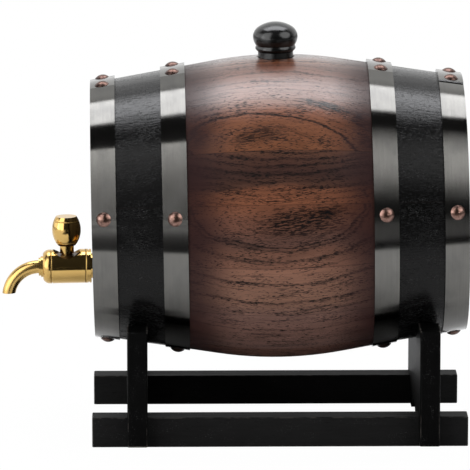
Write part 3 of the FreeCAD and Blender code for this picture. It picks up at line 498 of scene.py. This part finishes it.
def lower_look(number):
    """Wide rings that three staves share, with scorched patches on the first."""
    half = half_width_of(number)
    rings = [(25.6, 0.8, 0.85), (27.4, 1.2, 0.75), (34.4, 1.3, 0.62), (49.1, 1.6, 0.66),
             (62.1, 1.5, 0.70), (70.5, 0.9, 0.45), (86.0, 1.2, 0.55), (98.9, 1.0, 0.45),
             (104.6, 1.0, 0.4)]
    tints = {5: [(-half, rgb(112, 71, 52)), (-8.0, rgb(104, 69, 55)), (3.0, rgb(86, 60, 51)),
                 (10.0, rgb(100, 68, 54)), (half, rgb(114, 78, 62))],
             6: [(-half, rgb(116, 81, 65)), (4.0, rgb(116, 84, 69)), (half, rgb(108, 80, 70))],
             7: [(-half, rgb(108, 80, 71)), (half, rgb(106, 79, 71))]}
    scorches = {5: [(13.0, -9.5, 37.0, 11.5, 0.09, 0.95), (28.5, -14.0, 9.0, 4.0, 0.12, 1.0)]}
    return Look(shared_centre(-2.0, 79.2, number), 1.95, rings, tints[number], scorches.get(number, ()))


def chance_rings(draw, first, count):
    """Rings at random distances, starting from a first one."""
    rings = []
    r = first
    for n in range(count):
        rings.append((r, draw.uniform(0.9, 1.9), draw.uniform(0.25, 0.85)))
        r += draw.uniform(3.2, 6.5)
    return rings


def chance_look(draw, number):
    """Look of a stave that no other function sets."""
    half = half_width_of(number)
    flat = draw.random() < 0.2
    along = draw.uniform(-20, 20)
    round_it = draw.uniform(-8, 8) if flat else draw.choice((-1, 1)) * draw.uniform(45, 90)
    aspect = draw.uniform(2.2, 3.4)
    rings = chance_rings(draw, 8.0 if flat else abs(round_it) - 20.0, 8)
    trio = [draw.choice((GOLD, BROWN, ROSE, PLUM)) for _ in range(3)]
    tints = list(zip((-half, 0.0, half), trio))
    scorches = []
    if draw.random() < 0.35:
        scorches = [(draw.uniform(-30, 30), draw.uniform(-8, 8), draw.uniform(12, 24), draw.uniform(4, 8),
                     draw.uniform(-0.1, 0.1), 0.8)]
    return Look((along, round_it), aspect, rings, tints, scorches)


def stave_oak(number, look):
    """Material of one stave."""
    return material(f"oak_{number:02d}", lambda t: StaveOak(t, number, look).shader())


SEEN = {2: upper_look, 3: burnt_look, 4: banded_look, 5: lower_look, 6: lower_look, 7: lower_look}
draw = random.Random(7)
for n in range(1, len(SEAMS)):
    look = SEEN[n](n) if n in SEEN else chance_look(draw, n)
    dress([f"stave_{n:02d}"], stave_oak(n, look))


# ---------------------------------------------------------------- painted stand
PAINT_PORE = rgb(6, 6, 6)
PAINT_WORN = rgb(96, 92, 88)
PAINT_DUST = rgb(74, 74, 74)


def near_edges(t, place, low, high):
    """1 on the edges of a box, which are where a place is near its end along two axes."""
    near = []
    for at, least, most in zip(t.split(place), low, high):
        middle = MM_PER_METRE * (least + most) / 2
        half = MM_PER_METRE * (most - least) / 2
        near.append(t.span(t.minus(half, t.absolute(t.minus(at, middle))), 0.95, 0.35))
    return t.highest(t.times(near[0], near[1]), t.times(near[1], near[2]), t.times(near[0], near[2]))


def stand_paint(name, along, base, gloss, scuffs):
    """Painted wood of one stand piece: grain along one axis, dust, and paint worn off its edges."""
    low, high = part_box(name)

    def paint(t):
        place = around(t, ORIGIN, 0.0)

        def spots(long, short, **kind):
            factors = [1 / short] * 3
            factors[along] = 1 / long
            return t.streaks(place, tuple(factors), **kind)

        grain = spots(18.0, 1.2, detail=3.0, rough=0.6)
        wrinkle = spots(9.0, 2.0, detail=3.0, rough=0.6, distortion=0.5)
        pore = t.steep(spots(3.6, 0.6, detail=1.5), threshold=0.66, slope=10.0)
        soft = spots(40.0, 25.0, detail=1.0)
        colour = t.shade(base, t.add(0.62, t.times(grain, 0.5), t.times(soft, 0.3)))
        colour = t.mix(t.times(pore, 0.5), colour, PAINT_PORE)
        rubbed = t.span(spots(9.0, 5.0, detail=3.0, rough=0.7), 0.44, 0.58)
        colour = t.mix(t.times(near_edges(t, place, low, high), rubbed, scuffs), colour, PAINT_WORN)
        dusty = t.span(spots(12.0, 9.0, detail=2.0), 0.46, 0.62)
        speck = t.steep(spots(0.75, 0.55, detail=1.0), threshold=0.655, slope=14.0)
        colour = t.mix(t.times(speck, dusty, 0.55), colour, PAINT_DUST)
        height = t.add(t.times(wrinkle, 0.12), t.times(grain, 0.06), t.times(pore, -0.09))
        return {"Base Color": colour, "Roughness": t.add(0.42, t.times(grain, 0.10), t.times(pore, 0.1)),
                "IOR": 1.5, "Specular IOR Level": gloss, "Normal": t.relief(height)}

    return material(f"paint_{name}", paint)


# ---------------------------------------------------------------- heads
HEAD_DARK = rgb(11, 10, 10)
HEAD_PALE = rgb(48, 42, 39)
HEAD_PORE = rgb(5, 5, 5)
HEAD_JOINT = rgb(3, 3, 3)
# mm from the head's middle to the joints, and shift of the noises from one board to the next
HEAD_JOINT_AT = 25.0
BOARD_SHIFT = 61.0


def head_oak(name, seed):
    """One ebonised board of a head: upright grain, open pores and a narrow joint to the next board."""
    def paint(t):
        x, y, z = t.split(around(t, CASK_CENTRE, CASK_TILT))
        bow = t.times(z, z, 0.0012 * (seed % 3 - 1))
        board = t.joined(x, t.add(y, bow, seed * BOARD_SHIFT), z)
        grain = t.streaks(board, (0.3, 1 / 1.5, 1 / 60.0), detail=3.0, rough=0.65)
        fine = t.streaks(board, (1.0, 1 / 0.55, 1 / 7.0), detail=2.0, rough=0.6)
        broad = t.streaks(board, (0.1, 1 / 9.0, 1 / 80.0), detail=2.0)
        pore = t.steep(fine, threshold=0.60, slope=12.0)
        lines = t.span(t.add(t.times(grain, 0.7), t.times(broad, 0.3)), 0.36, 0.64)
        joint = t.span(t.absolute(t.minus(t.absolute(y), HEAD_JOINT_AT)), 0.8, 0.2)
        colour = t.mix(t.times(pore, 0.8), t.mix(lines, HEAD_DARK, HEAD_PALE), HEAD_PORE)
        height = t.add(t.times(grain, 0.10), t.times(pore, -0.08), t.times(joint, -0.35))
        return {"Base Color": t.mix(joint, colour, HEAD_JOINT),
                "Roughness": t.add(0.40, t.times(lines, 0.12), t.times(pore, 0.15)),
                "IOR": 1.5, "Specular IOR Level": 0.15, "Normal": t.relief(height)}

    return material(name, paint)


def beech(t):
    """Bare dowels with their grain lengthwise."""
    grain = t.streaks(around(t, CASK_CENTRE, CASK_TILT), (1.8, 0.08, 1.8), detail=3.0)
    return {"Base Color": t.mix(grain, rgb(176, 132, 88), rgb(216, 178, 130)), "Roughness": 0.6,
            "Normal": t.relief(t.times(grain, 0.08))}


for n, name in enumerate(sorted(n for n in nodes if "head_board" in n)):
    dress([name], head_oak(f"head_oak_{n}", n))
for name in ("front_cradle", "rear_cradle"):
    dress([name], stand_paint(name, along=2, base=rgb(6, 6, 6), gloss=0.03, scuffs=0.75))
for name in ("near_rail", "far_rail"):
    dress([name], stand_paint(name, along=0, base=rgb(26, 26, 26), gloss=0.018, scuffs=0.25))
dress(["front_head_dowels", "rear_head_dowels"], material("beech", beech))


# ---------------------------------------------------------------- metals
STEEL = rgb(105, 104, 101)
STEEL_STAIN = rgb(70, 70, 72)
# pale steel of the strips' cut ends: bare steel, made pale as a painted highlight
STEEL_CUT_HIGHLIGHT = rgb(205, 206, 208)
TARNISH = rgb(68, 47, 41)
GROOVE_DIRT = rgb(70, 46, 20)
# copper by how far a head's surface faces outward: painted shade near the rim, a painted highlight ring
# near the crown
COPPER_LIT_RING_SHADED_RIM = [
    (0.0, rgb(40, 29, 26)), (0.58, rgb(56, 40, 36)), (0.80, rgb(148, 118, 109)),
    (0.93, rgb(142, 111, 100)), (1.0, rgb(122, 92, 81)),
]


def cut_end(t, angle):
    """1 on the cut ends of a hoop's strip, which face along its length."""
    _, y, z = t.split(t.turned(t.coordinate("Normal"), CASK_TILT, "Y_AXIS"))
    along = t.minus(t.times(y, t.math("COSINE", angle)), t.times(z, t.math("SINE", angle), -1.0))
    return t.span(t.absolute(along), 0.75, 0.92)


def brushed_hoop(t):
    """Dark steel strip brushed along its length, with fine scratches and a few darker stains."""
    x, angle, radius = round_cask(t, 0.0)
    s = t.times(angle, BILGE)

    def brushed(across, along, layer, **kind):
        return t.streaks(t.joined(x, s, layer), (across, along, 1.0), **kind)

    line = brushed(7.0, 0.045, 0.0, detail=3.0, rough=0.65)
    broad = brushed(0.25, 0.03, 3.0, detail=2.0)
    stain = t.span(brushed(0.09, 0.05, 8.0, detail=3.0), 0.42, 0.72)
    streak = brushed(1.1, 0.02, 5.0, detail=2.0, rough=0.6)
    factor = t.add(0.70, t.times(line, 0.20), t.times(broad, 0.14), t.times(streak, 0.24))
    cut = cut_end(t, angle)
    colour = t.mix(t.times(stain, 0.22), t.shade(STEEL, factor), STEEL_STAIN)
    # the cut ends take pale steel, partly a painted highlight
    return {"Base Color": t.mix(cut, colour, STEEL_CUT_HIGHLIGHT), "Metallic": 1.0,
            "Anisotropic": 1.0, "Anisotropic Rotation": 0.25,
            "Roughness": t.blend(cut, t.add(0.135, t.times(line, 0.05), t.times(stain, 0.04)), 0.55),
            "Normal": t.relief(t.times(line, 0.004)),
            "Tangent": t.node("ShaderNodeTangent", direction_type="RADIAL", axis="X").outputs[0]}


def copper(t):
    """Antique copper with painted light: a painted highlight ring on each head and painted shade near its
    rim; heads are darker at the cask's top, and on its underside this darkening is painted shade.
    """
    place = around(t, CASK_CENTRE, CASK_TILT)
    tarnish = t.noise(t.scaled(place, 0.55), detail=4.0, rough=0.6)
    fine = t.noise(t.scaled(place, 2.4), detail=2.0)
    _, y, z = t.split(place)
    outward = t.node("ShaderNodeVectorMath", {0: t.joined(0.0, y, z)}, operation="NORMALIZE").outputs[0]
    facing = t.node("ShaderNodeVectorMath", {0: t.coordinate("Normal"), 1: outward},
                    operation="DOT_PRODUCT").outputs["Value"]
    colour = t.mix(t.times(t.span(tarnish, 0.42, 0.66), 0.6), t.ramp(facing, COPPER_LIT_RING_SHADED_RIM), TARNISH)
    # heads darker at the cask's top; under the cask this darkening is painted shade
    darker_top_shaded_underside = t.span(t.absolute(t.split(outward)[2]), 0.75, 0.95)
    return {"Base Color": t.shade(colour, t.blend(darker_top_shaded_underside, 0.90, 0.52)), "Metallic": 1.0,
            "Roughness": t.add(0.22, t.times(tarnish, 0.14)), "Normal": t.relief(t.times(fine, 0.05))}


def brass(t, along=0, grooves=(), rough=0.11):
    """Polished brass with the faintest wiping marks and turned grooves at some places along an axis."""
    place = around(t, TAP_CENTRE, 0.0)
    depth = 0.0
    for at in grooves:
        near = t.absolute(t.minus(t.split(place)[along], at))
        depth = t.add(t.span(near, 0.55, 0.10), depth)
    haze = t.noise(t.scaled(place, 0.16), detail=3.0)
    wipe = t.streaks(place, (1.1, 0.35, 2.2), detail=3.0)
    polished = t.mix(haze, rgb(190, 155, 90), rgb(206, 172, 106))
    return {"Base Color": t.mix(t.times(depth, 0.12), polished, GROOVE_DIRT), "Metallic": 1.0,
            "Roughness": t.add(rough, t.times(wipe, 0.05), t.times(depth, 0.45)),
            "Normal": t.relief(t.add(t.times(haze, 0.03), t.times(depth, -0.10)))}


def speckled(centre, factor, colours, rough, spread, bump, detail=4.0, metallic=1.0):
    """Painter of a plain surface whose colour, roughness and height follow one fine noise."""
    def paint(t):
        cell = t.noise(t.scaled(around(t, centre, 0.0), factor), detail=detail)
        return {"Base Color": t.mix(cell, *colours), "Metallic": metallic,
                "Roughness": t.add(rough, t.times(cell, spread)), "Normal": t.relief(t.times(cell, bump))}

    return paint


# darkened brass for the ring in the recess under the key: painted shade
recess_shade_brass = speckled(TAP_CENTRE, 0.8, (rgb(52, 36, 20), rgb(92, 66, 36)), 0.32, 0.2, 0.04)
zinc = speckled(ORIGIN, 0.7, (rgb(168, 170, 174), rgb(196, 197, 196)), 0.28, 0.18, 0.03, detail=3.0)
rubber = speckled(ORIGIN, 0.9, (rgb(20, 20, 20), rgb(38, 38, 38)), 0.6, 0.2, 0.03, metallic=0.0)


def lacquer(t):
    """Turned wood under gloss black lacquer; the turning shows as faint rings."""
    place = around(t, CASK_CENTRE, CASK_TILT)
    ringed = t.streaks(place, (0.12, 0.12, 2.2), detail=2.0)
    grain = t.streaks(place, (0.9, 0.9, 0.10), detail=3.0)
    return {"Base Color": t.shade(rgb(9, 9, 9), t.add(0.7, t.times(grain, 0.6))), "IOR": 1.5,
            "Roughness": t.add(0.18, t.times(grain, 0.08)),
            "Normal": t.relief(t.add(t.times(ringed, 0.03), t.times(grain, 0.02)))}


dress([n for n in nodes if n.endswith("_hoop")], material("hoop_steel", brushed_hoop))
dress([n for n in nodes if n.endswith("_rivets")], material("copper_rivet", copper))
dress(["valve_plug", "tap_nut"], material("tap_brass", brass))
dress(["spout_nut", "tap_spout"], material("spout_brass", lambda t: brass(t, rough=0.22)))
dress(["gland_ring"], material("gland_shaded_brass", recess_shade_brass))
dress(["tap_body"], material("body_brass", lambda t: brass(t, along=0, grooves=(-9.6, 11.4))))
dress(["tap_key"], material("key_brass", lambda t: brass(t, along=2, grooves=(28.0, 15.0))))
dress(["tap_washer", "stand_screws"], material("zinc_steel", zinc))
dress(["tap_gasket", "stem_seal"], material("black_rubber", rubber))
dress(["bung"], material("black_lacquer", lacquer))


# ---------------------------------------------------------------- softened edges
def soften(piece, width, corner):
    """Round the edges of a piece that are sharper than a corner angle."""
    joined_faces = piece.modifiers.new("joined_faces", "WELD")
    joined_faces.merge_threshold = 0.00001
    worn_edge = piece.modifiers.new("worn_edge", "BEVEL")
    worn_edge.width = width
    worn_edge.segments = 2
    worn_edge.limit_method = "ANGLE"
    worn_edge.angle_limit = math.radians(corner)
    worn_edge.harden_normals = True


for name in ("front_cradle", "rear_cradle", "near_rail", "far_rail"):
    soften(nodes[name], width=0.0006, corner=50.0)


# ---------------------------------------------------------------- lamps
def aim(thing, target):
    """Turn a lamp or camera towards a place."""
    direction = Vector(target) - thing.location
    thing.rotation_euler = direction.to_track_quat("-Z", "Y").to_euler()


def lamp(name, place, target, width, height, radiance):
    """Soft box: a rectangular area lamp of an even radiance."""
    data = bpy.data.lights.new(name, "AREA")
    data.shape = "RECTANGLE"
    data.size = width
    data.size_y = height
    data.energy = radiance * math.pi * width * height
    lit = bpy.data.objects.new(name, data)
    lit.location = place
    bpy.context.scene.collection.objects.link(lit)
    aim(lit, target)
    return lit


def upright(name, facing, first, last, low, high, distance, radiance):
    """Soft box standing upright across one angle from the camera's side and spanning two others."""
    sine = math.sin(math.radians(facing))
    cosine = math.cos(math.radians(facing))
    left, right = (distance * math.tan(math.radians(v - facing)) for v in (first, last))
    middle = (left + right) / 2
    x = distance * sine + middle * cosine
    y = -distance * cosine + middle * sine
    z = (low + high) / 2
    return lamp(name, (x, y, z), (x - sine, y + cosine, z), right - left, high - low, radiance)


def round_lamp(name, azimuth, elevation, distance, width, radiance):
    """Round soft box that leans over and faces the cask."""
    a = math.radians(azimuth)
    e = math.radians(elevation)
    x = distance * math.cos(e) * math.sin(a)
    y = -distance * math.cos(e) * math.cos(a)
    z = LAMP_AIM_HEIGHT + distance * math.sin(e)
    lit = lamp(name, (x, y, z), (0.0, 0.0, LAMP_AIM_HEIGHT), width, width, radiance)
    lit.data.shape = "DISK"
    lit.data.energy *= math.pi / 4
    return lit


overhead = lamp("overhead", place=(0.0, 0.43, 1.62), target=(0.0, 0.0, 0.15), width=1.55, height=0.80,
                radiance=5.3)
overhead.data.color = (0.985, 0.992, 1.025)
upright("side_left", facing=-20.0, first=-76.0, last=-27.0, low=0.04, high=2.42, distance=1.3,
        radiance=2.75)
round_lamp("side_right", azimuth=58.0, elevation=33.0, distance=1.9, width=1.85, radiance=2.7)


# ---------------------------------------------------------------- backdrop and floor
WHITE = (1, 1, 1, 1)
FLOOR_GREY = (0.8, 0.8, 0.8, 1)
FLOOR_SIZE = 40.0
# strengths of the backdrop's parts for light and mirrors
SCREEN = 1.15
WING = 1.9
DIM = 0.03
# share of pure white that the camera sees near the cask, and distances over which it grows to 1
NEAR_WHITE = 0.985
SHADOW_FADES = (0.25, 0.7)
# how pale two faint parts of the mirrored floor are, and how much darker it is under the stand
FAINT_FRONT = 0.24
FAINT_LEFT = 0.12
STAND_SHADE = 0.75


def backdrop():
    """White for the camera. Everything else sees a screen behind, a wing on the left and a dim rest."""
    world = bpy.data.worlds.new("studio")
    bpy.context.scene.world = world
    world.use_nodes = True
    t = Tree(world.node_tree)
    aside, ahead, above = t.split(t.coordinate("Generated"))
    screen = t.times(t.span(ahead, 0.15, 0.45), t.span(above, 0.95, 0.70), SCREEN)
    wing = t.times(t.span(aside, -0.80, -0.92), t.span(above, 0.75, 0.60), WING)
    strength = t.highest(t.node("ShaderNodeLightPath").outputs["Is Camera Ray"], screen, wing, DIM)
    t.end(t.node("ShaderNodeBackground", {"Color": WHITE, "Strength": strength}), "ShaderNodeOutputWorld")


def table_mask(t, x, y):
    """1 where mirrors show a pale floor, down to 0 where they show darkness. Limits are in metres."""
    # the pale floor ends about a third of a metre in front of the cask, at an edge that is slightly bent
    bent_y = t.add(y, t.math("MINIMUM", t.times(x, 0.20), t.times(x, -0.10)))
    inside_edge = t.span(bent_y, -0.350, -0.318)
    far_left = t.span(x, -0.24, -0.36)
    front_right = t.times(t.span(x, 0.04, 0.12), t.span(y, -0.36, -0.48), FAINT_FRONT)
    left = t.span(x, -0.12, -0.18, 0.0, FAINT_LEFT)
    under_stand = t.times(t.span(t.absolute(y), 0.078, 0.050), t.span(x, -0.080, -0.060),
                          t.span(x, 0.125, 0.105))
    return t.times(t.highest(inside_edge, far_left, front_right, left),
                   t.minus(1.0, t.times(under_stand, STAND_SHADE)))


def floor_paint():
    """White with a faint shadow to the camera, pale grey to light, and masked to mirrors."""
    made, t = blank_material("floor_paint")
    rays = t.node("ShaderNodeLightPath").outputs
    x, y, _ = t.split(t.coordinate("Object"))
    seen = rays["Is Camera Ray"]
    mirrored = t.highest(rays["Is Glossy Ray"], rays["Is Transmission Ray"])
    far_off = t.span(t.length(x, y), *SHADOW_FADES)
    share = t.add(t.times(seen, t.blend(far_off, NEAR_WHITE, 1.0)),
                  t.times(mirrored, t.minus(1.0, table_mask(t, x, y))))
    matt = t.node("ShaderNodeBsdfDiffuse", {"Color": FLOOR_GREY})
    glow = t.node("ShaderNodeEmission", {"Color": WHITE, "Strength": seen})
    both = t.node("ShaderNodeMixShader", {0: share, 1: matt.outputs[0], 2: glow.outputs[0]})
    t.end(both, "ShaderNodeOutputMaterial")
    return made


backdrop()
bpy.ops.mesh.primitive_plane_add(size=FLOOR_SIZE)
floor = bpy.context.object
floor.name = "floor"
floor.data.materials.append(floor_paint())

# ---------------------------------------------------------------- camera
camera_data = bpy.data.cameras.new("camera")
camera_data.lens = CAMERA_LENS
camera_data.sensor_width = CAMERA_SENSOR
camera_data.clip_start = 0.1
camera_data.clip_end = 100.0
camera = bpy.data.objects.new("camera", camera_data)
bpy.context.scene.collection.objects.link(camera)
camera.location = CAMERA_PLACE
aim(camera, CAMERA_TARGET)
bpy.context.scene.camera = camera

bpy.context.scene.view_settings.view_transform = "Standard"
